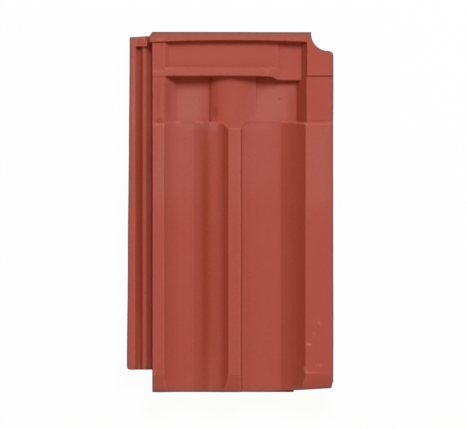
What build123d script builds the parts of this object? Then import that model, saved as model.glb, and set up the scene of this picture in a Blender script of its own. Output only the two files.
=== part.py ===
from build123d import *
import os

# Interlocking clay roof tile, lying on its lugs. Millimetres, +Z up.
# X runs across the tile from the side lock (low) to the side cover (high).
# Y runs along the slope from the tail (low) to the head (high).
# The origin is on the floor, under the middle of the tile's outline.

# Widths across the tile, from the lock side to the cover side
OUTER_RIB = 9.2
OUTER_GROOVE = 9.1
MIDDLE_RIB = 3.0
INNER_GROOVE = 7.7
EDGE_RIB = 13.7
LEFT_TROUGH = 50.6
LEDGE = 22.4
CENTRE_RIB = 14.1
RIGHT_TROUGH = 73.9
COVER_RIB = 31.3

# Length, and the head lap that the next tile up covers
LENGTH = 410.0
HEAD_LAP = 102.2

# Heights of the body
LUG_DROP = 13.0
PAN_THICKNESS = 11.0
RIB_HEIGHT = 19.0
LEDGE_HEIGHT = 8.6
LEDGE_DIP = 0.3
HEAD_PAN_RISE = 0.5

# Curved sides of the troughs, and the rise per run where each one starts
EDGE_LIP = 2.0
EDGE_LIP_LEAN = 0.4
LEFT_SWEEP = 22.2
LEDGE_SWEEP = 17.4
LEDGE_START = 0.4
LEDGE_FLAT = 4.0
CENTRE_START = 0.2
CENTRE_LEAN = 0.9
COVER_SWEEP = 29.0
COVER_START = 0.47

# Side lock: two ribs and two grooves, and the cover that drops over them
LOCK_THICKNESS = 12.5
OUTER_RIB_HEIGHT = 7.0
OUTER_RIB_DRAFT = 0.5
MIDDLE_RIB_HEIGHT = 4.0
MIDDLE_RIB_DRAFT = 0.85
LOCK_CLEARANCE = 1.0
LOCK_TIP_GAP = 2.5
SIDE_GAP = 1.2
LOCK_TAPER = 3.2
LOCK_TAIL_GAP = 25.6
LOCK_HEAD_GAP = 4.5
LOCK_HEAD_SLANT = 1.4

# Pad that closes the outer groove at the head
PAD_LENGTH = 12.0
PAD_WIDTH = 14.2
PAD_SETBACK = 2.9
PAD_ROUND = 4.0

# How far the rib tops are lowered in the head lap
STRIP_DROP = 3.4
STRIP_DROP_HEAD = 4.0
COVER_DROP = 3.0
COVER_STEP_SETBACK = 49.8
RIM_DROP = 1.5

# Sides of the head pans, and the sloped ends of the ribs over them
HEAD_SLOPE_LEFT = 14.2
HEAD_SLOPE_RIGHT = 11.9
COVER_SHIFT = 1.1
STEP_FOOT = 2.6
STEP_LEAN = 0.15

# Head lock: ridge, panel, low block and rim, with heights over the head pan
RIDGE_SETBACK = 50.7
RIDGE_HEIGHT = 15.7
RIDGE_FLAT = 6.2
RIDGE_FACE = 4.4
RIDGE_BOW = 1.2
PANEL_HEIGHT = 9.6
LOW_BLOCK_HEIGHT = 7.3
LOW_BLOCK_WIDTH = 29.0
LOW_BLOCK_REACH = 4.3
LOW_BLOCK_BEND = 13.7
LOW_BLOCK_ROUND = 6.0
RIM_DEPTH = 11.6
RIM_BOW = 2.1
LOCK_EDGE_ROUND = 0.8

# Crowned boss in the head recess: places from its left edge
BOSS_WIDTH = 53.3
BOSS_INSET = 0.5
BOSS_LEAN = 1.9
BOSS_SHOULDER = 14.5
BOSS_CREST = 28.8
BOSS_KNEE = 39.0
BOSS_HOOK = 7.0

# Heights of the boss over the head pan, at the ridge and at the lap
BOSS_WALL = 2.2
SHOULDER_AT_RIDGE = 8.2
CREST_AT_RIDGE = 9.4
KNEE_AT_RIDGE = 7.2
BOSS_END_AT_RIDGE = 4.2
SHOULDER_AT_LAP = 6.0
CREST_AT_LAP = 5.6
KNEE_AT_LAP = 1.0
BOSS_END_AT_LAP = 0.3

# Outline seen from above
NOTCH_RADIUS = 19.4
NOTCH_IN = 5.7
NOTCH_DOWN = 2.2
NOTCH_ROUND = 5.5
HEAD_CORNER = 3.0
TAIL_SLANT_RUN = 83.5
TAIL_SLANT = 4.6
TAIL_CORNER_RUN = 2.3
TAIL_CORNER = 8.5
LOCK_ROUND = 4.0

# Bevel of the ribs at the tail
TAIL_BEVEL = 19.4
TAIL_BEVEL_DROP = 5.0

# Hollows under the ribs
SIDE_WALL = 7.5
HOLLOW_WALL = 11.0
HOLLOW_SIDE = 4.5
HOLLOW_DRAFT = 0.8
HOLLOW_STOP = 11.8
SLOPE_HOLLOW = 10.0

# Lugs that hook on the batten, and lips under the tail
BATTEN_LUG = 28.0
BATTEN_LUG_DEPTH = 12.0
BATTEN_LUG_SETBACK = 26.0
TAIL_LIP_DEPTH = 12.0
TAIL_LIP_INSET = 3.0
LUG_DRAFT = 1.2

# Rounding of long edges
EDGE_ROUND = 1.2
CUSP_ROUND = 0.6
COVER_ROUND = 4.0
LOCK_SIDE_ROUND = 3.0
FOOT_ROUND = 5.0
HOLLOW_ROUND = 2.5

# How far a cutting shape reaches past the surface that it cuts
OVERCUT = 1.0

# Places across the tile
WIDTH = (OUTER_RIB + OUTER_GROOVE + MIDDLE_RIB + INNER_GROOVE + EDGE_RIB
         + LEFT_TROUGH + LEDGE + CENTRE_RIB + RIGHT_TROUGH + COVER_RIB)
x_lock = -WIDTH / 2
x_outer_groove = x_lock + OUTER_RIB
x_middle_rib = x_outer_groove + OUTER_GROOVE
x_inner_groove = x_middle_rib + MIDDLE_RIB
x_wall = x_inner_groove + INNER_GROOVE
x_left_trough = x_wall + EDGE_RIB
x_ledge = x_left_trough + LEFT_TROUGH
x_centre = x_ledge + LEDGE
x_right_trough = x_centre + CENTRE_RIB
x_cover = x_right_trough + RIGHT_TROUGH
x_edge = x_cover + COVER_RIB
x_boss = x_ledge + BOSS_INSET
x_boss_end = x_boss + BOSS_WIDTH
x_head_cover = x_cover + COVER_SHIFT

# Side by side, each tile lies this far from the last
PITCH = x_edge - x_wall + SIDE_GAP
x_cover_foot = x_lock - LOCK_CLEARANCE + PITCH

# Places along the tile
y_tail = -LENGTH / 2
y_head = LENGTH / 2
y_lap = y_head - HEAD_LAP
y_ridge = y_head - RIDGE_SETBACK
y_ridge_crest = y_ridge + RIDGE_FLAT
y_panel = y_ridge_crest + RIDGE_FACE
y_rim = y_head - RIM_DEPTH
y_cover_step = y_head - COVER_STEP_SETBACK
y_lock = y_tail + LOCK_TAIL_GAP
y_lock_end = y_head - LOCK_HEAD_GAP

# Levels over the floor
z_under = LUG_DROP
z_pan = z_under + PAN_THICKNESS
z_rib = z_pan + RIB_HEIGHT
z_ledge = z_pan + LEDGE_HEIGHT
z_head_pan = z_pan + HEAD_PAN_RISE
z_strip = z_rib - STRIP_DROP
z_head_cover = z_rib - COVER_DROP
z_rim = z_rib - RIM_DROP
z_ridge = z_head_pan + RIDGE_HEIGHT
z_panel = z_head_pan + PANEL_HEIGHT
z_low_block = z_head_pan + LOW_BLOCK_HEIGHT
z_lock = z_under + LOCK_THICKNESS
z_outer_rib = z_lock + OUTER_RIB_HEIGHT
z_middle_rib = z_lock + MIDDLE_RIB_HEIGHT
z_bed = (z_under + z_pan) / 2
z_sky = z_rib + RIB_HEIGHT


def polygon(*points):
    """Flat face inside a closed line of points."""
    return make_face(Polyline(*points, close=True))


def rounded(section, corners):
    """Section with its corners, given as (first, second, radius), rounded."""
    for first, second, radius in corners:
        corner = section.vertices().sort_by_distance((first, second))[0]
        section = fillet(corner, radius)
    return section


def run_along(section, y_from, y_to):
    """Solid whose section, drawn as (x, z), runs along the tile."""
    placed = Plane((0, y_from, 0), x_dir=(1, 0, 0), z_dir=(0, -1, 0)) * section
    return extrude(placed, y_to - y_from, dir=(0, 1, 0))


def run_across(section, x_from, x_to):
    """Solid whose section, drawn as (y, z), runs across the tile."""
    placed = Plane((x_from, 0, 0), x_dir=(0, 1, 0), z_dir=(1, 0, 0)) * section
    return extrude(placed, x_to - x_from, dir=(1, 0, 0))


def raised(outline, z_from, z_to):
    """Solid whose outline, drawn as (x, y), stands from one level to another."""
    return extrude(Pos(0, 0, z_from) * outline, z_to - z_from, dir=(0, 0, 1))


def lock_top(ease, floor):
    """Top line of the side lock, from its outer edge to the wall, over a groove floor."""
    z_outer = z_outer_rib + ease
    z_middle = z_middle_rib + ease
    outer_run = ease + (z_outer - floor) * OUTER_RIB_DRAFT
    middle_run = ease + (z_middle - floor) * MIDDLE_RIB_DRAFT
    return [
        (x_lock - ease, z_outer),
        (x_outer_groove + ease, z_outer),
        (x_outer_groove + outer_run, floor),
        (x_middle_rib - middle_run, floor),
        (x_middle_rib - ease, z_middle),
        (x_inner_groove + ease, z_middle),
        (x_inner_groove + middle_run, floor),
        (x_wall, floor),
    ]


def cover_underside():
    """The lock's line moved by one pitch and eased, down to the tips of the cover's lips."""
    floor = z_lock + LOCK_TIP_GAP
    line = [(x + PITCH, z) for x, z in lock_top(LOCK_CLEARANCE, floor)]
    return line[:-1] + [(x_edge, floor)]


def body_section():
    """Section of the body through its troughs, from the wall to the cover's outer edge."""
    left_foot = (x_left_trough + LEFT_SWEEP, z_pan)
    ledge_foot = (x_ledge - LEDGE_SWEEP, z_pan)
    side_foot = (x_right_trough + CENTRE_LEAN, z_pan)
    cover_foot = (x_cover - COVER_SWEEP, z_pan)
    lip = (x_left_trough + EDGE_LIP_LEAN, z_rib - EDGE_LIP)
    under_lip = ((lip[0] + left_foot[0]) / 2, z_pan)
    cusp = (x_ledge, z_ledge)
    dip = (x_ledge + LEDGE_FLAT, z_ledge - LEDGE_DIP)
    cover = cover_underside()
    edges = [
        Polyline((x_wall, z_under), (x_wall, z_rib), (x_left_trough, z_rib), lip),
        Bezier(lip, under_lip, left_foot),
        Line(left_foot, ledge_foot),
        TangentArc(ledge_foot, cusp, tangent=(1, LEDGE_START)),
        Line(cusp, dip),
        TangentArc(dip, (x_centre, z_rib), tangent=(1, CENTRE_START)),
        Polyline((x_centre, z_rib), (x_right_trough, z_rib), side_foot, cover_foot),
        TangentArc(cover_foot, (x_cover, z_rib), tangent=(1, COVER_START)),
        Polyline((x_cover, z_rib), (x_edge, z_rib), cover[-1]),
        Polyline(*reversed(cover)),
        Polyline(cover[0], (x_cover_foot, z_under), (x_wall, z_under)),
    ]
    return rounded(make_face(edges), [
        (x_wall, z_rib, EDGE_ROUND),
        (x_left_trough, z_rib, CUSP_ROUND),
        (*cusp, CUSP_ROUND),
        (x_centre, z_rib, EDGE_ROUND),
        (x_right_trough, z_rib, EDGE_ROUND),
        (*side_foot, FOOT_ROUND),
        (*cover_foot, FOOT_ROUND),
        (x_cover, z_rib, EDGE_ROUND),
        (x_edge, z_rib, COVER_ROUND),
    ])


def side_lock():
    """Ribs and grooves that the neighbour's cover drops over."""
    inside = x_wall + EDGE_RIB / 2
    strip = polygon((x_lock, z_under), *lock_top(0, z_lock), (inside, z_lock), (inside, z_under))
    strip = rounded(strip, [
        (x_lock, z_outer_rib, LOCK_SIDE_ROUND),
        (x_outer_groove, z_outer_rib, EDGE_ROUND),
        (x_middle_rib, z_middle_rib, EDGE_ROUND),
        (x_inner_groove, z_middle_rib, EDGE_ROUND),
    ])
    return run_along(strip, y_lock, y_head)


def lock_pad():
    """Pad beside the outer rib that closes its groove at the head, in two levels."""
    y_foot = y_lock_end - PAD_LENGTH
    x_end = x_outer_groove + PAD_WIDTH
    y_top = y_lock_end - PAD_SETBACK
    corners = ((x_outer_groove - EDGE_ROUND, y_foot), (x_end, y_foot), (x_end, y_top),
               (x_outer_groove - EDGE_ROUND, y_top))
    pad = rounded(polygon(*corners), [(x_end, y_top, PAD_ROUND), (x_end, y_foot, EDGE_ROUND)])
    step = polygon((x_outer_groove, y_foot + EDGE_ROUND), (x_middle_rib, y_foot + EDGE_ROUND),
                   (x_middle_rib, y_lock_end), (x_outer_groove, y_lock_end))
    return raised(pad, z_under, z_outer_rib) + raised(step, z_under, z_middle_rib)


def plan():
    """The outline seen from above, as a solid that the body is cut to."""
    outline = polygon(
        (x_wall, y_tail),
        (x_edge - TAIL_SLANT_RUN, y_tail),
        (x_edge - TAIL_CORNER_RUN, y_tail + TAIL_SLANT),
        (x_edge, y_tail + TAIL_SLANT + TAIL_CORNER),
        (x_edge, y_head),
        (x_wall, y_head),
        (x_wall - HEAD_CORNER, y_lock_end),
        (x_lock + LOCK_TAPER, y_lock_end - LOCK_HEAD_SLANT),
        (x_lock, y_lock + LOCK_ROUND),
        (x_lock, y_lock),
        (x_wall, y_lock),
    )
    x_notch = x_edge - NOTCH_IN
    y_notch = y_head - NOTCH_DOWN
    y_shoulder = y_notch - NOTCH_RADIUS
    corner = polygon((x_notch, y_shoulder), (x_edge + NOTCH_IN, y_shoulder),
                     (x_edge + NOTCH_IN, y_head + NOTCH_DOWN), (x_notch, y_head + NOTCH_DOWN))
    outline = outline - Pos(x_notch, y_notch) * Circle(NOTCH_RADIUS) - corner
    outline = rounded(outline, [
        (x_edge, y_shoulder, NOTCH_ROUND),
        (x_lock, y_lock, LOCK_ROUND - CUSP_ROUND),
        (x_wall, y_lock, EDGE_ROUND),
    ])
    return raised(outline, 0, z_sky)


def valley():
    """Points across the head pans, from the lowered edge rib to the lowered cover rib."""
    return [
        (x_left_trough, z_strip),
        (x_left_trough + HEAD_SLOPE_LEFT, z_head_pan),
        (x_head_cover - HEAD_SLOPE_RIGHT, z_head_pan),
        (x_head_cover, z_head_cover),
    ]


def head_recess():
    """Space over the head pans, which slopes up over the ends of the ribs."""
    across = polygon((x_left_trough, z_sky), *valley(), (x_head_cover, z_sky))
    z_step = z_head_pan + STEP_FOOT
    along = polygon(
        (y_lap, z_bed),
        (y_lap, z_step),
        (y_lap - (z_sky - z_step) * STEP_LEAN, z_sky),
        (y_head + OVERCUT, z_sky),
        (y_head + OVERCUT, z_bed),
    )
    return run_along(across, y_tail, y_head + OVERCUT) & run_across(along, x_lock, x_edge)


def head_pan():
    """Floor of the head lap, with its two sloped sides."""
    section = polygon((x_left_trough, z_bed), *valley(), (x_head_cover, z_bed))
    return run_along(section, y_lap, y_head)


def lowering(x_from, x_to, y_from, y_to, drop):
    """Space over a rib's lowered top, with a sloped face toward the tail."""
    outline = polygon(
        (y_from - drop - (z_sky - z_rib), z_sky),
        (y_from, z_rib - drop),
        (y_to, z_rib - drop),
        (y_to, z_sky),
    )
    return run_across(outline, x_from, x_to)


def lowered_ribs():
    """Spaces over the edge rib and the cover rib in the head lap."""
    x_strip = x_left_trough + EDGE_LIP_LEAN
    x_out = x_edge + OVERCUT
    y_out = y_head + OVERCUT
    return [
        lowering(x_wall - OVERCUT, x_strip, y_lap, y_out, STRIP_DROP),
        lowering(x_wall - OVERCUT, x_strip, y_ridge, y_out, STRIP_DROP_HEAD),
        lowering(x_cover - OVERCUT, x_out, y_lap, y_out, RIM_DROP),
        lowering(x_cover - OVERCUT, x_out, y_lap, y_cover_step, COVER_DROP),
    ]


def ridge_and_panel():
    """Ridge with its panel behind, which fall at the right to a low block."""
    x_block = x_cover - LOW_BLOCK_WIDTH
    x_bend = x_block - LOW_BLOCK_BEND
    x_in = x_head_cover + EDGE_ROUND
    y_block = y_ridge - LOW_BLOCK_REACH
    front = [
        ThreePointArc((x_wall, y_ridge), ((x_wall + x_bend) / 2, y_ridge + RIDGE_BOW),
                      (x_bend, y_ridge)),
        Spline((x_bend, y_ridge), (x_block, y_block), tangents=((1, 0), (1, 0))),
        Polyline((x_block, y_block), (x_in, y_block), (x_in, y_head), (x_wall, y_head),
                 (x_wall, y_ridge)),
    ]
    lying = raised(make_face(front), z_bed, z_ridge)
    profile = polygon(
        (y_block - OVERCUT, z_bed),
        (y_block - OVERCUT, z_ridge),
        (y_ridge_crest, z_ridge),
        (y_panel, z_panel),
        (y_head, z_panel),
        (y_head, z_bed),
    )
    profile = rounded(profile, [
        (y_ridge_crest, z_ridge, HOLLOW_ROUND),
        (y_panel, z_panel, HOLLOW_ROUND),
    ])
    fall = polygon(
        (x_wall, z_bed),
        (x_wall, z_ridge),
        (x_bend, z_ridge),
        (x_block, z_low_block),
        (x_in, z_low_block),
        (x_in, z_bed),
    )
    fall = rounded(fall, [
        (x_bend, z_ridge, LOW_BLOCK_ROUND),
        (x_block, z_low_block, LOW_BLOCK_ROUND),
    ])
    along = run_across(profile, x_wall, x_in)
    across = run_along(fall, y_block - OVERCUT, y_head)
    return lying & along & across


def rim():
    """Rim along the head edge, with its corner over the end of the inner groove."""
    x_in = x_head_cover + EDGE_ROUND
    x_out = x_wall - HEAD_CORNER
    outline = make_face([
        Line((x_out, y_rim), (x_wall, y_rim)),
        ThreePointArc((x_wall, y_rim), ((x_wall + x_cover) / 2, y_rim + RIM_BOW),
                      (x_cover, y_rim)),
        Polyline((x_cover, y_rim), (x_in, y_rim), (x_in, y_head), (x_out, y_head),
                 (x_out, y_rim)),
    ])
    solid = raised(outline, z_bed, z_rim)
    front = solid.edges().filter_by_position(Axis.Z, z_rim - 0.01, z_rim + 0.01)
    front = front.filter_by_position(Axis.Y, y_rim - 0.01, y_rim + RIM_BOW + 0.01)
    return fillet(front, LOCK_EDGE_ROUND)


def boss_section(y_place, shoulder, crest, knee, end):
    """Upright section of the boss at one place along the tile, from its heights."""
    foot = (x_boss, z_head_pan)
    wall = (x_boss + BOSS_LEAN, z_head_pan + BOSS_WALL)
    right = (x_boss_end, z_head_pan + end)
    section = make_face([
        Polyline((x_boss, z_bed), foot, wall),
        Spline(wall, (x_boss + BOSS_SHOULDER, z_head_pan + shoulder),
               (x_boss + BOSS_CREST, z_head_pan + crest),
               (x_boss + BOSS_KNEE, z_head_pan + knee), right),
        Polyline(right, (x_boss_end, z_bed), (x_boss, z_bed)),
    ])
    return Plane((0, y_place, 0), x_dir=(1, 0, 0), z_dir=(0, -1, 0)) * section


def hook():
    """Outline of the boss's end, which reaches into the end of the centre rib."""
    return polygon(
        (x_centre - BOSS_HOOK, y_lap + OVERCUT),
        (x_right_trough + BOSS_HOOK, y_lap + OVERCUT),
        (x_right_trough + BOSS_HOOK, y_lap),
        (x_right_trough, y_lap - BOSS_HOOK),
        (x_centre, y_lap - BOSS_HOOK),
        (x_centre - BOSS_HOOK, y_lap),
    )


def boss():
    """Crowned boss between the head pans, which sinks toward the lap and hooks round the rib."""
    y_in = y_ridge + RIDGE_FLAT / 2
    at_ridge = boss_section(y_in, SHOULDER_AT_RIDGE, CREST_AT_RIDGE, KNEE_AT_RIDGE,
                            BOSS_END_AT_RIDGE)
    at_lap = boss_section(y_lap, SHOULDER_AT_LAP, CREST_AT_LAP, KNEE_AT_LAP, BOSS_END_AT_LAP)
    end = extrude(at_lap, BOSS_HOOK, dir=(0, -1, 0)) & raised(hook(), z_bed, z_sky)
    return loft([at_lap, at_ridge]) + end


def hollow(foot_left, top_left, top_right, foot_right, z_top):
    """Drafted hollow under a rib, open at the tail."""
    section = polygon(
        (foot_left, 0),
        (foot_left, z_under),
        (top_left, z_top),
        (top_right, z_top),
        (foot_right, z_under),
        (foot_right, 0),
    )
    section = rounded(section, [
        (top_left, z_top, HOLLOW_ROUND),
        (top_right, z_top, HOLLOW_ROUND),
    ])
    return run_along(section, y_tail - OVERCUT, y_lap - HOLLOW_STOP)


def hollows():
    """Hollows under the edge rib, the ledge, the centre rib and the cover's slope."""
    z_high = z_rib - HOLLOW_WALL
    z_low = z_ledge - HOLLOW_WALL
    x_edge_hollow = x_wall + SIDE_WALL
    x_slope_end = x_cover_foot - SIDE_WALL
    edge = hollow(x_edge_hollow, x_edge_hollow + HOLLOW_DRAFT, x_left_trough - HOLLOW_DRAFT,
                  x_left_trough + LEFT_SWEEP - HOLLOW_WALL / 2, z_high)
    ledge = hollow(x_ledge - HOLLOW_WALL, x_ledge, x_centre, x_centre + HOLLOW_SIDE, z_low)
    centre = hollow(x_centre - HOLLOW_WALL, x_centre - HOLLOW_DRAFT, x_centre + HOLLOW_SIDE,
                    x_centre + 2 * HOLLOW_SIDE, z_high)
    slope = hollow(x_cover - COVER_SWEEP + HOLLOW_WALL / 2, x_cover - HOLLOW_WALL,
                   x_slope_end - HOLLOW_DRAFT, x_slope_end, z_under + SLOPE_HOLLOW)
    return edge + ledge + centre + slope


def lug(x_from, x_to, y_from, depth):
    """Drafted lug under the pan, down to the floor, upright on its tail side."""
    width = polygon((x_from + LUG_DRAFT, 0), (x_to - LUG_DRAFT, 0), (x_to, z_under),
                    (x_from, z_under))
    y_to = y_from + depth
    thickness = polygon((y_from, 0), (y_to - LUG_DRAFT, 0), (y_to, z_under), (y_from, z_under))
    return run_along(width, y_from, y_to) & run_across(thickness, x_from, x_to)


def lugs():
    """Two batten lugs near the head and two lips under the tail, below the head pans."""
    left = (x_left_trough + HEAD_SLOPE_LEFT, x_boss)
    right = (x_boss_end, x_head_cover - HEAD_SLOPE_RIGHT)
    y_hook = y_head - BATTEN_LUG_SETBACK - BATTEN_LUG_DEPTH
    pieces = []
    for x_from, x_to in (left, right):
        middle = (x_from + x_to) / 2
        pieces.append(lug(middle - BATTEN_LUG / 2, middle + BATTEN_LUG / 2, y_hook,
                          BATTEN_LUG_DEPTH))
        pieces.append(lug(x_from + TAIL_LIP_INSET, x_to - TAIL_LIP_INSET, y_tail,
                          TAIL_LIP_DEPTH))
    return pieces


def tail_bevel():
    """Space over the bevelled tail ends of the ribs."""
    z_tail = z_rib - TAIL_BEVEL_DROP
    outline = polygon((y_tail, z_tail), (y_tail + TAIL_BEVEL, z_rib),
                      (y_tail + TAIL_BEVEL, z_sky), (y_tail, z_sky))
    return run_across(outline, x_lock, x_edge + OVERCUT)


def roof_tile():
    """The whole tile, one moulded piece."""
    tile = run_along(body_section(), y_tail, y_head) - head_recess()
    tile = tile - raised(hook(), z_head_pan, z_sky)
    for space in lowered_ribs():
        tile = tile - space
    tile = tile + head_pan() + side_lock() + lock_pad()
    tile = tile + ridge_and_panel() + rim() + boss()
    tile = tile - tail_bevel() - hollows()
    tile = tile & plan()
    for piece in lugs():
        tile = tile + piece
    return tile


os.makedirs("parts", exist_ok=True)
export_step(roof_tile(), "parts/roof_tile.step")
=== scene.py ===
"""Looks of a pressed clay roof tile: its worn body, its fired clay finish and a plain studio."""
import logging
import math
from dataclasses import dataclass
from enum import Enum

import bmesh
import bpy
import numpy as np
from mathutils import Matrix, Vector, kdtree, noise


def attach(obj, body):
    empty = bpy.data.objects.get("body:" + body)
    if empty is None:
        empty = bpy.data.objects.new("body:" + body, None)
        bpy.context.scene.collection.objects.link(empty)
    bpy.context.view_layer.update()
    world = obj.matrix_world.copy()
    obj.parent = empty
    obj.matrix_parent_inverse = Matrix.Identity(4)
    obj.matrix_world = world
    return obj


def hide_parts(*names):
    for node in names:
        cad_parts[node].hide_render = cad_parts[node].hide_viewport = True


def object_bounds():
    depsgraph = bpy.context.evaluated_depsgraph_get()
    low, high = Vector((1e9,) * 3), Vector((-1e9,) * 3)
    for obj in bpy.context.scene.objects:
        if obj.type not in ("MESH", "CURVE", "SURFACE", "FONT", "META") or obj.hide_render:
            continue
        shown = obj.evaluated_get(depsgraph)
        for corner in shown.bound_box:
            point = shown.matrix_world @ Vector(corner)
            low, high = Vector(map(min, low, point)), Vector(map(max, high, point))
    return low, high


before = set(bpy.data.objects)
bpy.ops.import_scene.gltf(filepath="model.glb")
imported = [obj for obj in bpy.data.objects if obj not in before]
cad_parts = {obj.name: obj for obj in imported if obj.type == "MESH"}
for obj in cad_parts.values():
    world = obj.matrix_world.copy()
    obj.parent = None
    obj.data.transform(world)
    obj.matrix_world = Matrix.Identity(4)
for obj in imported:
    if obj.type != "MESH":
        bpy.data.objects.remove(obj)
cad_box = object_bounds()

log = logging.getLogger("roof_tile")

MM = 0.001

# The colour sockets of a Mix node, by place
MIX_FIRST, MIX_SECOND, MIX_RESULT = 6, 7, 2

# Powers of the distance that give a soft bell and one with a flat top
SOFT, BLUNT = 2, 4

# The least square of a line's length, so that a dot can be measured as a line
LEAST_SQUARE = 1e-12

# Rows of the photograph between which the head pans, the weather face and the side lock lie
PAN_ROWS = (79.0, 122.0)
FACE_ROWS = (126.0, 386.0)
LOCK_ROWS = (48.5, 368.0)

# Pairs of numbers, such as a ramp's stops or the corners of a line
Pairs = tuple[tuple[float, float], ...]


class Step(Enum):
    """The sums that the shader maths uses, as a Math node names them."""

    ADD = "ADD"
    MULTIPLY = "MULTIPLY"
    MAXIMUM = "MAXIMUM"


class Signal:
    """A number that varies over the surface, which Python's operators combine."""

    def __init__(self, graph: "Graph", socket: bpy.types.NodeSocket) -> None:
        """Keeps the socket and the graph that it belongs to."""
        self.graph = graph
        self.socket = socket

    def __add__(self, other: "Signal | float") -> "Signal":
        """Sum."""
        return self.graph.combine(Step.ADD, self, other)

    def __mul__(self, other: "Signal | float") -> "Signal":
        """Product."""
        return self.graph.combine(Step.MULTIPLY, self, other)

    __radd__ = __add__
    __rmul__ = __mul__


class Graph:
    """The nodes of one material or world."""

    def __init__(self, tree: bpy.types.NodeTree) -> None:
        """Starts from an empty tree.

        Args:
            tree: the node tree to fill.
        """
        self.tree = tree
        tree.nodes.clear()

    def node(self, kind: str, settings: dict[str, object] | None = None,
             sockets: dict[str | int, object] | None = None) -> bpy.types.Node:
        """Adds a node.

        Args:
            kind: the node's type, without the leading ShaderNode.
            settings: the node's own settings, set before its sockets. "stops" gives a ramp's
                stops as (place, grey) pairs.
            sockets: values, signals or output sockets for its inputs, by name or place.

        Returns:
            The new node.
        """
        made = self.tree.nodes.new("ShaderNode" + kind)
        for name, value in (settings or {}).items():
            if name == "stops":
                self._set_stops(made.color_ramp, value)
            else:
                setattr(made, name, value)
        for name, value in (sockets or {}).items():
            self._feed(made.inputs[name], value)
        return made

    def combine(self, step: Step, first: Signal | float, second: Signal | float) -> Signal:
        """Combines two numbers.

        Args:
            step: what to do with them.
            first: the first number.
            second: the second number.

        Returns:
            The result as a signal.
        """
        made = self.node("Math", {"operation": step.value}, {0: first, 1: second})
        return Signal(self, made.outputs[0])

    def blend(self, share: Signal | float, first: object, second: object) -> bpy.types.NodeSocket:
        """Mixes two colours.

        Args:
            share: how much of the second colour shows, 0 to 1.
            first: the colour, or its socket, where share is 0.
            second: the colour, or its socket, where share is 1.

        Returns:
            The mixed colour's socket.
        """
        made = self.node("Mix", {"data_type": "RGBA"},
                         {0: share, MIX_FIRST: first, MIX_SECOND: second})
        return made.outputs[MIX_RESULT]

    def ramp(self, signal: Signal, stops: Pairs) -> Signal:
        """Bends a signal through (place, grey) stops.

        Args:
            signal: what to bend.
            stops: the places along the signal and the grey there.

        Returns:
            The bent signal, 0 to 1.
        """
        made = self.node("ValToRGB", {"stops": stops}, {0: signal})
        return Signal(self, made.outputs[0])

    def attribute(self, name: str) -> Signal:
        """The mesh's own value of that name."""
        made = self.node("Attribute", {"attribute_name": name})
        return Signal(self, made.outputs["Fac"])

    def _feed(self, socket: bpy.types.NodeSocket, value: object) -> None:
        """Gives an input socket its value or its link."""
        if isinstance(value, Signal):
            value = value.socket
        if isinstance(value, bpy.types.NodeSocket):
            self.tree.links.new(value, socket)
        elif socket.type == "RGBA" and len(value) == 3:
            socket.default_value = (*value, 1.0)
        else:
            socket.default_value = value

    def _set_stops(self, ramp: bpy.types.ColorRamp, stops: Pairs) -> None:
        """Gives a ramp its (place, grey) stops, as many as the two that a new ramp has."""
        for element, (place, grey) in zip(ramp.elements, stops, strict=True):
            element.position = place
            element.color = (grey, grey, grey, 1.0)


@dataclass(frozen=True)
class Speckle:
    """Soft noise about 0.5.

    Its size is that of its patches in metres, its detail is the number of finer layers, and its
    roughness is how strong these are.
    """

    size: float
    detail: float
    roughness: float = 0.5

    def over(self, graph: Graph, place: bpy.types.NodeSocket) -> Signal:
        """Spreads the noise over a surface.

        Args:
            graph: the material's nodes.
            place: the surface's coordinates, in metres.

        Returns:
            The noise as a signal.
        """
        made = graph.node("TexNoise", None, {"Vector": place, "Scale": 1 / self.size,
                                             "Detail": self.detail, "Roughness": self.roughness})
        return Signal(graph, made.outputs[0])


@dataclass(frozen=True)
class Photo:
    """How the photograph's pixels lie on the tile, seen from straight above."""

    width: int = 467
    height: int = 429
    head_row: float = 31.92
    tail_row: float = 392.35
    middle_column: float = 230.1
    length: float = cad_box[1][1] - cad_box[0][1]

    @property
    def pixel(self) -> float:
        """Metres on the tile for each pixel."""
        return self.length / (self.tail_row - self.head_row)

    def place(self, column: float, row: float) -> tuple[float, float]:
        """Where a pixel lies on the tile.

        Args:
            column: pixels from the photograph's left edge.
            row: pixels from its top edge.

        Returns:
            x and y in metres.
        """
        middle_row = (self.head_row + self.tail_row) / 2
        return (column - self.middle_column) * self.pixel, (middle_row - row) * self.pixel


PHOTO = Photo()


class Mark(Enum):
    """The values that the mesh carries for its finish, and for the shade and sheen painted into its
    colour.
    """

    EDGE = "edge"
    HOLLOW_SHADE = "groove"
    BORDER = "border"
    SCUFF = "scuff"
    BLOOM = "bloom_and_sheen"
    PAINTED_SHADE = "painted_shade"


def fading(distance: np.ndarray, reach: float, power: int = SOFT) -> np.ndarray:
    """A strength that fades with distance.

    Args:
        distance: the distance of each place.
        reach: the distance at which the strength has fallen to about a third.
        power: the power of the distance, which sets how flat the strength is near 0.

    Returns:
        The strength at each place, 1 at no distance and falling towards 0.
    """
    return np.exp(-(distance / reach) ** power)


def share_of(values: np.ndarray, full: float) -> np.ndarray:
    """Values as shares of a full one, kept between 0 and 1."""
    return np.clip(values / full, 0, 1)


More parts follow.
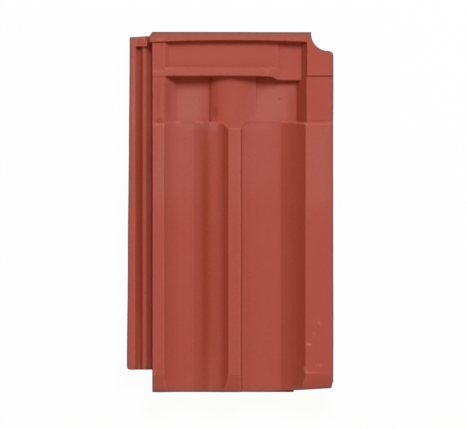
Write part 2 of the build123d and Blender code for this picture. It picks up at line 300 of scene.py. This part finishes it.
@dataclass(frozen=True)
class Crease:
    """A straight raised line, or a groove, left by a joint of the press mould.

    Its ends are pixels of the photograph, and its sizes are metres.
    """

    start: tuple[float, float]
    end: tuple[float, float]
    width: float
    height: float

    @classmethod
    def down(cls, column: float, rows: tuple[float, float], width: float, height: float) -> "Crease":
        """A line that runs down the slope in one column."""
        return cls((column, rows[0]), (column, rows[1]), width, height)

    @classmethod
    def across(cls, row: float, columns: tuple[float, float], width: float,
               height: float) -> "Crease":
        """A line that runs across the slope in one row."""
        return cls((columns[0], row), (columns[1], row), width, height)

    def lift(self, points: np.ndarray) -> np.ndarray:
        """How far the line raises the face.

        Args:
            points: places on the tile, one a row.

        Returns:
            The rise at each place, in metres.
        """
        return self.height * fading(distance_to_line(points, self.start, self.end), self.width)


@dataclass(frozen=True)
class Dent:
    """A nick or pit in the face.

    Its middle is a pixel of the photograph, and its sizes are metres.
    """

    middle: tuple[float, float]
    radius: float
    depth: float

    def lift(self, points: np.ndarray) -> np.ndarray:
        """How far the dent lowers the face, as a negative rise.

        Args:
            points: places on the tile, one a row.

        Returns:
            The rise at each place, in metres.
        """
        distance = distance_to_line(points, self.middle, self.middle)
        return -self.depth * fading(distance, self.radius, BLUNT)


@dataclass(frozen=True)
class Scuff:
    """A pale rub mark on the face.

    Its ends are pixels of the photograph, and its width is metres.
    """

    start: tuple[float, float]
    end: tuple[float, float]
    width: float
    strength: float

    def shade(self, points: np.ndarray) -> np.ndarray:
        """How strongly the mark shows.

        Args:
            points: places on the tile, one a row.

        Returns:
            The strength at each place, 0 to 1.
        """
        return self.strength * fading(distance_to_line(points, self.start, self.end), self.width)


@dataclass(frozen=True)
class Patch:
    """A soft patch of another colour on the face: pale bloom that is partly painted sheen, or painted
    shade.

    Its middle and reach are pixels of the photograph.
    """

    mark: Mark
    middle: tuple[float, float]
    reach: tuple[float, float]
    strength: float

    def shade(self, points: np.ndarray) -> np.ndarray:
        """How strongly the patch shows.

        Args:
            points: places on the tile, one a row.

        Returns:
            The strength at each place, 0 to 1.
        """
        away = (points[:, :2] - PHOTO.place(*self.middle)) / (np.array(self.reach) * PHOTO.pixel)
        return self.strength * np.exp(-(away ** BLUNT).sum(axis=1))


@dataclass(frozen=True)
class Infill:
    """A bar of clay that fills out a slope of the pressed form.

    Its flat underside lies at the base, between two feet. Each crest is a row with the bar's top
    line there, as columns with heights, and all top lines have as many corners. Feet, rows and
    columns are pixels of the photograph, and heights are metres.
    """

    base: float
    feet: tuple[float, float]
    crests: tuple[tuple[float, Pairs], ...]

    @classmethod
    def even(cls, base: float, feet: tuple[float, float], rows: tuple[float, float],
             top_line: Pairs) -> "Infill":
        """A bar with the same top line from its first row to its last."""
        return cls(base, feet, tuple((row, top_line) for row in rows))

    def add_to(self, form: bmesh.types.BMesh) -> None:
        """Adds the bar to a mesh.

        Args:
            form: the mesh, which is changed.
        """
        first_foot, last_foot = self.feet
        rings = []
        for row, top_line in self.crests:
            section = ((first_foot, self.base), *top_line, (last_foot, self.base))
            corners = [(*PHOTO.place(column, row), height) for column, height in section]
            rings.append([form.verts.new(corner) for corner in corners])
        form.faces.new(rings[0])
        form.faces.new(rings[-1])
        for near, far in zip(rings, rings[1:]):
            for corner in range(len(near)):
                following = (corner + 1) % len(near)
                form.faces.new((near[corner], near[following], far[following], far[corner]))


def distance_to_line(points: np.ndarray, start: tuple[float, float],
                     end: tuple[float, float]) -> np.ndarray:
    """Distance across the face to a line between two pixels of the photograph.

    Args:
        points: places on the tile, one a row.
        start: the line's first pixel.
        end: the line's last pixel.

    Returns:
        The distance of each place, in metres.
    """
    first = np.array(PHOTO.place(*start))
    run = np.array(PHOTO.place(*end)) - first
    length_squared = max(float(run @ run), LEAST_SQUARE)
    share = np.clip((points[:, :2] - first) @ run / length_squared, 0, 1)
    return np.linalg.norm(points[:, :2] - first - share[:, None] * run, axis=1)


class Skin:
    """The arrays of a dense mesh, which relief is pressed into."""

    def __init__(self, mesh: bpy.types.Mesh) -> None:
        """Reads the mesh.

        Args:
            mesh: a dense mesh of even faces.
        """
        self.mesh = mesh
        self.count = len(mesh.vertices)
        self.points = self._read(mesh.vertices, "co", 3)
        self.pairs = self._read(mesh.edges, "vertices", 2, np.int32)
        self.neighbours = np.bincount(self.pairs.ravel(), minlength=self.count)

    def _read(self, rows: bpy.types.bpy_prop_collection, name: str, width: int,
              kind: type = np.float32) -> np.ndarray:
        """One of the mesh's values as an array with a row for each item."""
        values = np.empty(len(rows) * width, kind)
        rows.foreach_get(name, values)
        return values.reshape(-1, width)

    @property
    def normals(self) -> np.ndarray:
        """The direction that the surface faces at each vertex."""
        return self._read(self.mesh.vertices, "normal", 3).astype(float)

    def averaged(self, values: np.ndarray, rounds: int) -> np.ndarray:
        """Values evened out with those of the neighbouring vertices.

        Args:
            values: a number or a row for each vertex.
            rounds: how many times to even them out.

        Returns:
            The evened values.
        """
        even = values.astype(float).reshape(self.count, -1)
        first, second = self.pairs.T
        for _ in range(rounds):
            total = np.empty_like(even)
            for column in range(even.shape[1]):
                line = even[:, column]
                total[:, column] = (np.bincount(first, line[second], self.count)
                                    + np.bincount(second, line[first], self.count))
            even = (even + total / self.neighbours[:, None]) / 2
        return even.reshape(values.shape)

    def bulge(self, rounds: int) -> np.ndarray:
        """How far each vertex stands out of its surroundings.

        Args:
            rounds: how wide those surroundings are, in rounds of evening out.

        Returns:
            The height of each vertex over its surroundings, in metres.
        """
        apart = self.points - self.averaged(self.points, rounds)
        return np.einsum("ij,ij->i", apart, self.normals)

    def move(self, points: np.ndarray) -> None:
        """Puts the vertices at new places.

        Args:
            points: the places, one a row.
        """
        self.points = points.astype(np.float32)
        self.mesh.vertices.foreach_set("co", self.points.ravel())
        self.mesh.update()


@dataclass(frozen=True)
class Wave:
    """Slow unevenness that pressing, drying and firing leave in the clay."""

    size: float
    depth: float
    seed: int

    def lift(self, points: np.ndarray) -> np.ndarray:
        """How far the wave raises the surface.

        Args:
            points: places on the tile, one a row.

        Returns:
            The rise at each place, in metres.
        """
        shifted = points / self.size + self.seed
        return self.depth * np.array([noise.noise(Vector(point)) for point in shifted])


@dataclass
class TileBody:
    """The tile's one piece of clay: the pressed form with the wear of a made tile.

    Sizes are metres, apart from those of the nicks, which are millimetres. A facing is the
    upward part of the direction that the surface faces, 1 where it faces straight up.
    """

    node: bpy.types.Object
    grain: float = 0.75 * MM
    rough_grain: float = 1.5 * MM
    triangles: int = 180_000
    least_facing: float = 0.3
    evening_rounds: int = 2
    edge_rounds: int = 6
    edge_height: float = 0.12 * MM
    groove_rounds: int = 60
    groove_height: float = 0.9 * MM
    border_cell: tuple[float, float] = (1.4 * MM, 1.9 * MM)
    border_cells: int = 5
    border_falloff: float = 2.0
    border_facing: float = 0.5
    # Painted shade on faces turned leftward, away from the lamp: where it starts and is full, how
    # strong it is, and the facing below which it fades.
    shade_turn_from: float = 0.38
    shade_turn_to: float = 0.60
    shade_turn_strength: float = 0.65
    shade_turn_facing: float = 0.4
    nicks: int = 70
    nick_seed: int = 11
    nick_radii: tuple[float, float] = (0.8, 2.2)
    nick_depths: tuple[float, float] = (0.15, 0.45)
    waves: tuple[Wave, ...] = (
        Wave(70 * MM, 0.30 * MM, 3),
        Wave(22 * MM, 0.10 * MM, 7),
        Wave(6 * MM, 0.03 * MM, 13),
    )
    creases: tuple[Crease, ...] = (
        Crease.down(154.8, PAN_ROWS, 0.8 * MM, 0.30 * MM),
        Crease.down(161.6, PAN_ROWS, 0.9 * MM, 0.30 * MM),
        Crease.down(157.5, PAN_ROWS, 0.6 * MM, -0.15 * MM),
        Crease.down(161.9, FACE_ROWS, 0.5 * MM, -0.12 * MM),
        Crease.across(66.2, (170.0, 273.0), 1.0 * MM, -0.30 * MM),
        Crease.down(281.3, FACE_ROWS, 0.5 * MM, -0.12 * MM),
        Crease.down(193.0, FACE_ROWS, 0.7 * MM, 0.12 * MM),
        Crease.across(121.0, (309.0, 330.5), 0.8 * MM, -0.25 * MM),
        Crease.down(209.0, (127.0, 386.0), 1.8 * MM, -0.45 * MM),
        Crease.across(75.2, (306.5, 330.5), 0.8 * MM, 0.15 * MM),
        Crease.down(309.4, (79.6, 87.6), 0.6 * MM, -0.15 * MM),
        Crease((212.9, 112.0), (215.6, 120.5), 0.7 * MM, -0.30 * MM),
        Crease.down(138.4, (38.4, 47.4), 0.5 * MM, -0.40 * MM),
        Crease.across(372.8, (304.5, 319.5), 0.8 * MM, 0.20 * MM),
    )
    dents: tuple[Dent, ...] = (
        Dent((279.3, 99.5), 1.4 * MM, 0.9 * MM),
        Dent((156.5, 121.6), 1.6 * MM, 0.45 * MM),
        Dent((168.0, 39.8), 1.2 * MM, 0.4 * MM),
        Dent((313.5, 323.0), 1.6 * MM, 0.3 * MM),
        Dent((317.8, 371.0), 1.6 * MM, 0.3 * MM),
        Dent((308.0, 344.0), 2.0 * MM, 0.3 * MM),
    )
    scuffs: tuple[Scuff, ...] = (
        Scuff((317.2, 321.0), (319.0, 322.5), 1.3 * MM, 0.9),
        Scuff((313.5, 320.5), (314.5, 321.5), 0.9 * MM, 0.5),
        Scuff((306.0, 343.0), (311.5, 345.5), 1.2 * MM, 0.8),
        Scuff((312.0, 336.5), (315.0, 333.0), 1.1 * MM, 0.5),
        Scuff((318.0, 364.0), (319.5, 365.5), 1.1 * MM, 0.7),
        Scuff((304.8, 368.0), (306.0, 372.0), 1.2 * MM, 0.8),
        Scuff((305.0, 372.8), (317.0, 372.8), 0.9 * MM, 0.35),
        Scuff((156.3, 124.0), (157.3, 124.6), 1.0 * MM, 0.5),
        Scuff((163.6, 124.8), (164.4, 125.6), 1.0 * MM, 0.5),
        Scuff((304.6, 122.6), (306.4, 124.0), 1.1 * MM, 0.6),
        Scuff((157.5, 39.5), (158.3, 39.5), 1.0 * MM, 0.5),
        Scuff((152.5, 370.0), (153.5, 373.5), 1.0 * MM, 0.6),
    )
    patches: tuple[Patch, ...] = (
        # Pale bloom, partly painted sheen: these patches lighten level faces, the ridge's crest and the
        # lit steps at the lap line.
        Patch(Mark.BLOOM, (191.0, 101.0), (16.0, 23.0), 0.65),
        Patch(Mark.BLOOM, (272.0, 103.0), (20.0, 21.0), 0.80),
        Patch(Mark.BLOOM, (231.0, 36.0), (90.0, 5.0), 0.40),
        Patch(Mark.BLOOM, (215.0, 71.5), (70.0, 5.0), 0.40),
        Patch(Mark.BLOOM, (215.0, 55.0), (62.0, 11.0), 0.20),
        Patch(Mark.BLOOM, (159.5, 39.7), (4.5, 1.3), 0.90),
        Patch(Mark.BLOOM, (182.0, 150.0), (20.0, 60.0), 0.50),
        Patch(Mark.BLOOM, (158.0, 165.0), (7.0, 45.0), 0.60),
        Patch(Mark.BLOOM, (235.0, 150.0), (8.0, 60.0), 0.30),
        Patch(Mark.BLOOM, (258.0, 145.0), (18.0, 50.0), 0.45),
        Patch(Mark.BLOOM, (318.0, 165.0), (14.0, 45.0), 0.60),
        Patch(Mark.BLOOM, (134.5, 85.0), (3.0, 60.0), 0.80),
        Patch(Mark.BLOOM, (195.0, 125.0), (18.0, 2.5), 0.90),
        Patch(Mark.BLOOM, (213.0, 127.0), (5.0, 4.0), 0.90),
        # Painted shade: darker red at the edges of the ridge's shadow, on slopes and walls, at the feet
        # of steps, along the lap line and in the side lock's grooves, which hold some dirt too.
        Patch(Mark.PAINTED_SHADE, (206.3, 256.0), (5.2, 132.0), 0.68),
        Patch(Mark.PAINTED_SHADE, (214.0, 300.0), (4.5, 90.0), 0.20),
        Patch(Mark.PAINTED_SHADE, (214.0, 98.0), (5.0, 22.0), 0.30),
        Patch(Mark.PAINTED_SHADE, (215.0, 113.0), (3.5, 8.0), 0.35),
        Patch(Mark.PAINTED_SHADE, (157.6, 101.0), (2.4, 17.0), 0.25),
        Patch(Mark.PAINTED_SHADE, (167.0, 101.0), (4.0, 17.0), 0.40),
        Patch(Mark.PAINTED_SHADE, (292.0, 106.0), (5.0, 16.0), 0.22),
        Patch(Mark.PAINTED_SHADE, (139.3, 205.0), (2.0, 160.0), 1.00),
        Patch(Mark.PAINTED_SHADE, (144.5, 205.0), (3.0, 160.0), 0.14),
        Patch(Mark.PAINTED_SHADE, (318.0, 98.0), (11.0, 20.0), 0.10),
        Patch(Mark.PAINTED_SHADE, (229.0, 80.5), (12.0, 2.2), 0.40),
        Patch(Mark.PAINTED_SHADE, (222.0, 67.6), (52.0, 1.9), 0.40),
        Patch(Mark.PAINTED_SHADE, (159.0, 121.4), (5.5, 1.9), 0.60),
        Patch(Mark.PAINTED_SHADE, (318.0, 121.4), (12.0, 1.5), 0.45),
    )
    infills: tuple[Infill, ...] = (
        Infill(30.0 * MM, (164.5, 279.5), (
            (72.0, ((164.5, 40.2 * MM), (267.0, 40.2 * MM), (279.5, 33.0 * MM))),
            (68.8, ((164.5, 40.2 * MM), (267.0, 40.2 * MM), (279.5, 33.0 * MM))),
            (67.1, ((164.5, 37.8 * MM), (267.0, 37.8 * MM), (279.5, 32.0 * MM))),
        )),
        Infill(23.0 * MM, (166.0, 262.0), (
            (74.0, ((166.0, 40.1 * MM), (262.0, 40.1 * MM))),
            (75.6, ((166.0, 40.0 * MM), (262.0, 40.0 * MM))),
            (76.4, ((166.0, 38.4 * MM), (262.0, 38.4 * MM))),
        )),
        Infill.even(22.0 * MM, (141.95, 146.65), LOCK_ROWS,
                    ((142.5, 29.1 * MM), (145.9, 29.1 * MM))),
        Infill.even(22.0 * MM, (134.0, 137.5), LOCK_ROWS,
                    ((135.2, 32.1 * MM), (136.95, 27.0 * MM), (137.5, 25.0 * MM))),
    )

    def build(self) -> bpy.types.Object:
        """Makes the worn body.

        Returns:
            The body as a new object, in the tile's own place.
        """
        form = self._squared_form()
        fine = self._with_modifier(form, "REMESH", mode="VOXEL", use_smooth_shade=True,
                                   voxel_size=self.grain)
        bpy.data.objects.remove(form)
        skin = Skin(fine)
        self._press_relief(skin)
        marks = self._find_marks(skin)
        body = bpy.data.objects.new("clay_body", fine)
        bpy.context.scene.collection.objects.link(body)
        dense_triangles = 2 * len(fine.polygons)
        ratio = min(1.0, self.triangles / dense_triangles)
        body.data = self._with_modifier(body, "DECIMATE", ratio=ratio)
        self._carry_over(body.data, skin, marks)
        log.info("%s: %d vertices from %d", body.name, len(body.data.vertices), skin.count)
        return body

    def _squared_form(self) -> bpy.types.Object:
        """A copy of the pressed form with its infills added.

        Returns:
            The copy as a new object.
        """
        mesh = self.node.data.copy()
        shape = bmesh.new()
        shape.from_mesh(mesh)
        for infill in self.infills:
            infill.add_to(shape)
        bmesh.ops.recalc_face_normals(shape, faces=shape.faces)
        shape.to_mesh(mesh)
        shape.free()
        form = bpy.data.objects.new("squared_form", mesh)
        bpy.context.scene.collection.objects.link(form)
        return form

    def _with_modifier(self, source: bpy.types.Object, kind: str, **settings: object) -> bpy.types.Mesh:
        """A new mesh of an object as one modifier would make it.

        Args:
            source: the object, which is left as it was.
            kind: the modifier's type.
            settings: the modifier's settings.

        Returns:
            The new mesh.
        """
        modifier = source.modifiers.new(kind.lower(), kind)
        for name, value in settings.items():
            setattr(modifier, name, value)
        graph = bpy.context.evaluated_depsgraph_get()
        mesh = bpy.data.meshes.new_from_object(source.evaluated_get(graph))
        source.modifiers.remove(modifier)
        return mesh

    def _press_relief(self, skin: Skin) -> None:
        """Adds waves, creases, dents and nicks to the body.

        Args:
            skin: the dense body, which is changed.
        """
        normals = skin.normals
        points = skin.points.astype(float)
        upward = np.clip(normals[:, 2], 0, 1) ** 2
        lift = sum(wave.lift(points) for wave in self.waves)
        lift += upward * sum(mark.lift(points) for mark in (*self.creases, *self.dents))
        lift += self._nick_lift(skin, points, normals)
        skin.move(points + normals * lift[:, None])

    def _nick_lift(self, skin: Skin, points: np.ndarray, normals: np.ndarray) -> np.ndarray:
        """Small random chips along the exposed edges.

        Args:
            skin: the dense body.
            points: its places, one a row.
            normals: the direction that it faces at each place.

        Returns:
            The rise at each place, in metres, which is negative.
        """
        draws = np.random.default_rng(self.nick_seed)
        exposed = np.flatnonzero((skin.bulge(self.edge_rounds) > self.edge_height)
                                 & (normals[:, 2] > self.least_facing))
        lift = np.zeros(skin.count)
        for index in draws.choice(exposed, self.nicks, replace=False):
            radius = draws.uniform(*self.nick_radii) * MM
            depth = draws.uniform(*self.nick_depths) * MM
            near = np.linalg.norm(points - points[index], axis=1)
            lift -= depth * fading(near, radius)
        return lift

    def _find_marks(self, skin: Skin) -> dict[Mark, np.ndarray]:
        """Works out what the finish has to know about each place, and where shade and sheen are
        painted.

        Args:
            skin: the dense body.

        Returns:
            A value from 0 to 1 for each vertex, for each mark.
        """
        points = skin.points.astype(float)
        facing = skin.averaged(skin.normals, self.evening_rounds)
        leftward, upward = -facing[:, 0], facing[:, 2]
        weather = upward > self.least_facing
        shades = {mark: sum(patch.shade(points) for patch in self.patches if patch.mark is mark)
                  for mark in (Mark.BLOOM, Mark.PAINTED_SHADE)}
        # Painted shade: faces that turn to the left, away from the lamp, get the darker red.
        turned_away_shade = (self.shade_turn_strength * share_of(leftward - self.shade_turn_from, self.shade_turn_to - self.shade_turn_from)
               * share_of(upward, self.shade_turn_facing))
        border = skin.averaged(self._border(points), self.evening_rounds)
        scuff = sum(mark.shade(points) for mark in self.scuffs) * weather
        return {
            Mark.BLOOM: np.clip(shades[Mark.BLOOM], 0, 1) * weather,
            Mark.PAINTED_SHADE: np.maximum(np.clip(shades[Mark.PAINTED_SHADE], 0, 1) * weather, turned_away_shade),
            Mark.EDGE: share_of(skin.bulge(self.edge_rounds), self.edge_height),
            # How sunk each place is below its surroundings, which darkens the hollows as painted shade.
            Mark.HOLLOW_SHADE: share_of(-skin.bulge(self.groove_rounds), self.groove_height),
            Mark.BORDER: border * share_of(upward, self.border_facing),
            Mark.SCUFF: np.clip(scuff, 0, 1),
        }

    def _border(self, points: np.ndarray) -> np.ndarray:
        """How near each place is to the tile's outline, seen from above.

        Args:
            points: places on the tile, one a row.

        Returns:
            1 at the outline, falling to 0 a few cells inside it.
        """
        cells = ((points[:, :2] - points[:, :2].min(axis=0)) / self.border_cell).astype(int) + 1
        covered = np.zeros(cells.max(axis=0) + 2, bool)
        covered[cells[:, 0], cells[:, 1]] = True
        depth = np.zeros(covered.shape)
        for _ in range(self.border_cells):
            depth += covered
            inner = covered.copy()
            for step in ((1, 0), (-1, 0), (0, 1), (0, -1)):
                inner &= np.roll(covered, step, (0, 1))
            covered = inner
        inward = (depth[cells[:, 0], cells[:, 1]] - 1) / (self.border_cells - 1)
        return (1 - inward) ** self.border_falloff

    def _carry_over(self, mesh: bpy.types.Mesh, skin: Skin, marks: dict[Mark, np.ndarray]) -> None:
        """Gives the lighter mesh the dense one's marks and shading directions.

        Args:
            mesh: the lighter mesh, which is changed.
            skin: the dense body.
            marks: the dense body's values.
        """
        tree = kdtree.KDTree(skin.count)
        for index, point in enumerate(skin.points):
            tree.insert(point, index)
        tree.balance()
        nearest = np.array([tree.find(vertex.co)[1] for vertex in mesh.vertices])
        for mark, values in marks.items():
            attribute = mesh.attributes.new(mark.value, "FLOAT", "POINT")
            attribute.data.foreach_set("value", values[nearest].astype(np.float32))
        mesh.shade_smooth()
        mesh.normals_split_custom_set_from_vertices(skin.normals[nearest])


@dataclass(frozen=True)
class FiredClay:
    """Matt red clay with fine sand and worn edges, a faint pale bloom that is partly painted sheen on
    lit faces, and painted shade in a darker red.
    """

    clay: tuple[float, float, float] = (0.412, 0.071, 0.045)
    # Pale bloom, also used as painted sheen on lit faces.
    bloom_and_sheen: tuple[float, float, float] = (0.440, 0.108, 0.085)
    # Darker red, used as painted shade.
    painted_shade: tuple[float, float, float] = (0.290, 0.034, 0.010)
    worn: tuple[float, float, float] = (0.50, 0.150, 0.105)
    # Greyer and darker along the outline of the top faces.
    outline_grey: tuple[float, float, float] = (0.22, 0.095, 0.075)
    rub: tuple[float, float, float] = (0.60, 0.200, 0.140)
    sand: tuple[float, float, float] = (0.56, 0.20, 0.15)
    char: tuple[float, float, float] = (0.20, 0.045, 0.032)
    patches: Speckle = Speckle(45 * MM, 3)
    mottle: Speckle = Speckle(4 * MM, 3, 0.6)
    grains: Speckle = Speckle(0.9 * MM, 1)
    patch_stops: Pairs = ((0.35, 0.0), (0.65, 1.0))
    rub_stops: Pairs = ((0.35, 0.3), (0.6, 1.0))
    sand_stops: Pairs = ((0.68, 0.0), (0.78, 0.6))
    char_stops: Pairs = ((0.24, 0.6), (0.33, 0.0))
    bloom_and_sheen_share: float = 0.8
    patch_share: float = 0.1
    mottle_share: float = 0.2
    # How much the hollows are darkened as painted shade.
    hollow_shade_share: float = 0.15
    wear_share: float = 0.35
    shine: float = 0.25
    roughness: float = 0.78
    roughness_spread: float = 0.16
    roughness_patches: Speckle = Speckle(8 * MM, 3)
    fine_relief: Speckle = Speckle(1.1 * MM, 3, 0.6)
    broad_relief: Speckle = Speckle(5 * MM, 2)
    broad_share: float = 1.5
    relief_strength: float = 0.5
    relief_depth: float = 0.12 * MM

    def material(self) -> bpy.types.Material:
        """Makes the clay's material.

        Returns:
            The material.
        """
        made = bpy.data.materials.new("fired_clay")
        made.use_nodes = True
        graph = Graph(made.node_tree)
        place = graph.node("TexCoord").outputs["Object"]
        shader = graph.node("BsdfPrincipled", None, {
            "Base Color": self._colour(graph, place),
            "Roughness": self._roughness(graph, place),
            "Specular IOR Level": self.shine,
            "Normal": self._relief(graph, place),
        })
        graph.node("OutputMaterial", None, {"Surface": shader.outputs[0]})
        return made

    def _colour(self, graph: Graph, place: bpy.types.NodeSocket) -> bpy.types.NodeSocket:
        """The clay's colour over the surface.

        Args:
            graph: the material's nodes.
            place: the surface's coordinates.

        Returns:
            The colour's socket.
        """
        marks = {mark: graph.attribute(mark.value) for mark in Mark}
        patches = graph.ramp(self.patches.over(graph, place), self.patch_stops)
        mottle = self.mottle.over(graph, place)
        grains = self.grains.over(graph, place)
        # Pale tone: bloom patches that are partly painted sheen, with random patches and mottle.
        pale = (marks[Mark.BLOOM] * self.bloom_and_sheen_share + patches * self.patch_share
                + mottle * self.mottle_share)
        layers = (
            (pale, self.bloom_and_sheen),
            # Painted shade, from the patches and from faces turned away from the lamp.
            (marks[Mark.PAINTED_SHADE], self.painted_shade),
            # Painted shade in hollows.
            (marks[Mark.HOLLOW_SHADE] * self.hollow_shade_share, self.painted_shade),
            (marks[Mark.EDGE] * mottle * self.wear_share, self.worn),
            # Greyer and darker along the outline, seen from above.
            (marks[Mark.BORDER], self.outline_grey),
            (marks[Mark.SCUFF] * graph.ramp(mottle, self.rub_stops), self.rub),
            (graph.ramp(grains, self.sand_stops), self.sand),
            (graph.ramp(grains, self.char_stops), self.char),
        )
        colour = self.clay
        for share, shade in layers:
            colour = graph.blend(share, colour, shade)
        return colour

    def _roughness(self, graph: Graph, place: bpy.types.NodeSocket) -> Signal:
        """How matt the clay is over the surface."""
        return self.roughness_patches.over(graph, place) * self.roughness_spread + self.roughness

    def _relief(self, graph: Graph, place: bpy.types.NodeSocket) -> bpy.types.NodeSocket:
        """The fine grain of the surface.

        Args:
            graph: the material's nodes.
            place: the surface's coordinates.

        Returns:
            The normal's socket.
        """
        height = (self.fine_relief.over(graph, place)
                  + self.broad_relief.over(graph, place) * self.broad_share)
        bump = graph.node("Bump", None, {"Strength": self.relief_strength,
                                         "Distance": self.relief_depth, "Height": height})
        return bump.outputs[0]


@dataclass
class Studio:
    """A plain pale floor, soft light from the head side and a camera straight above."""

    floor_side: float = 6.0
    floor_depth: float = 0.2 * MM
    floor_colour: tuple[float, float, float] = (0.86, 0.86, 0.86)
    floor_glow: float = 0.96
    backdrop: tuple[float, float, float] = (1.0, 1.0, 1.0)
    sky: tuple[float, float, float] = (0.43, 0.30, 0.22)
    lamp_colour: tuple[float, float, float] = (0.73, 0.90, 1.0)
    light_from: tuple[float, float, float] = (0.16, 0.64, 0.79)
    light_distance: float = 5.0
    light_side: float = 2.2
    light_share: float = 0.78
    lens: float = 1000.0
    sensor: float = 36.0

    def build(self) -> None:
        """Makes the floor, the lights and the camera."""
        self._floor()
        self._world()
        self._lamp()
        self._camera()
        log.info("studio: floor, sky, lamp and camera")

    def _seen(self, graph: Graph) -> Signal:
        """1 where the eye sees a thing directly, mirrored or through glass, 0 for plain light."""
        path = graph.node("LightPath")
        direct, mirrored, through = (
            Signal(graph, path.outputs[name])
            for name in ("Is Camera Ray", "Is Glossy Ray", "Is Transmission Ray"))
        either = graph.combine(Step.MAXIMUM, direct, mirrored)
        return graph.combine(Step.MAXIMUM, either, through)

    def _floor(self) -> None:
        """Makes the floor, just under the tile."""
        half = self.floor_side / 2
        mesh = bpy.data.meshes.new("floor")
        corners = [(x, y, -self.floor_depth) for x, y in ((-half, -half), (half, -half),
                                                          (half, half), (-half, half))]
        mesh.from_pydata(corners, [], [(0, 1, 2, 3)])
        floor = bpy.data.objects.new("floor", mesh)
        bpy.context.scene.collection.objects.link(floor)
        made = bpy.data.materials.new("floor")
        made.use_nodes = True
        graph = Graph(made.node_tree)
        paint = graph.node("BsdfDiffuse", None, {"Color": self.floor_colour})
        glow = graph.node("Emission", None, {"Color": self.backdrop, "Strength": 1.0})
        both = graph.node("MixShader", None, {0: self._seen(graph) * self.floor_glow,
                                              1: paint.outputs[0], 2: glow.outputs[0]})
        graph.node("OutputMaterial", None, {"Surface": both.outputs[0]})
        mesh.materials.append(made)

    def _world(self) -> None:
        """Makes the even sky light, and the white that the camera sees."""
        world = bpy.data.worlds.new("sky")
        world.use_nodes = True
        bpy.context.scene.world = world
        graph = Graph(world.node_tree)
        light = graph.node("Background", None, {"Color": self.sky, "Strength": 1.0})
        white = graph.node("Background", None, {"Color": self.backdrop, "Strength": 1.0})
        both = graph.node("MixShader", None, {0: self._seen(graph), 1: light.outputs[0],
                                              2: white.outputs[0]})
        graph.node("OutputWorld", None, {"Surface": both.outputs[0]})

    def _lamp(self) -> None:
        """Makes the main lamp, as bright as gives the tile's flats their own colour."""
        towards = Vector(self.light_from).normalized()
        facing = self.light_share * math.pi / towards.z
        data = bpy.data.lights.new("main_lamp", "AREA")
        data.shape = "DISK"
        data.size = self.light_side
        data.color = self.lamp_colour
        data.energy = facing * math.pi * self.light_distance ** 2
        lamp = bpy.data.objects.new("main_lamp", data)
        lamp.location = towards * self.light_distance
        lamp.rotation_euler = towards.to_track_quat("Z", "Y").to_euler()
        bpy.context.scene.collection.objects.link(lamp)

    def _camera(self) -> None:
        """Makes the camera, which looks straight down with the tile's head at the top."""
        data = bpy.data.cameras.new("camera")
        data.lens = self.lens
        data.sensor_width = self.sensor
        x, y = PHOTO.place(PHOTO.width / 2, PHOTO.height / 2)
        away = PHOTO.width * PHOTO.pixel * self.lens / self.sensor
        camera = bpy.data.objects.new("camera", data)
        camera.location = (x, y, cad_box[1][2] + away)
        bpy.context.scene.collection.objects.link(camera)
        bpy.context.scene.camera = camera


def main() -> None:
    """Dresses the tile and sets up the studio."""
    logging.basicConfig(level=logging.INFO)
    bpy.context.scene.view_settings.view_transform = "Standard"
    body = TileBody(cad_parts["roof_tile"]).build()
    body.data.materials.clear()
    body.data.materials.append(FiredClay().material())
    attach(body, "root")
    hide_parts("roof_tile")
    Studio().build()


if __name__ == "__main__":
    main()
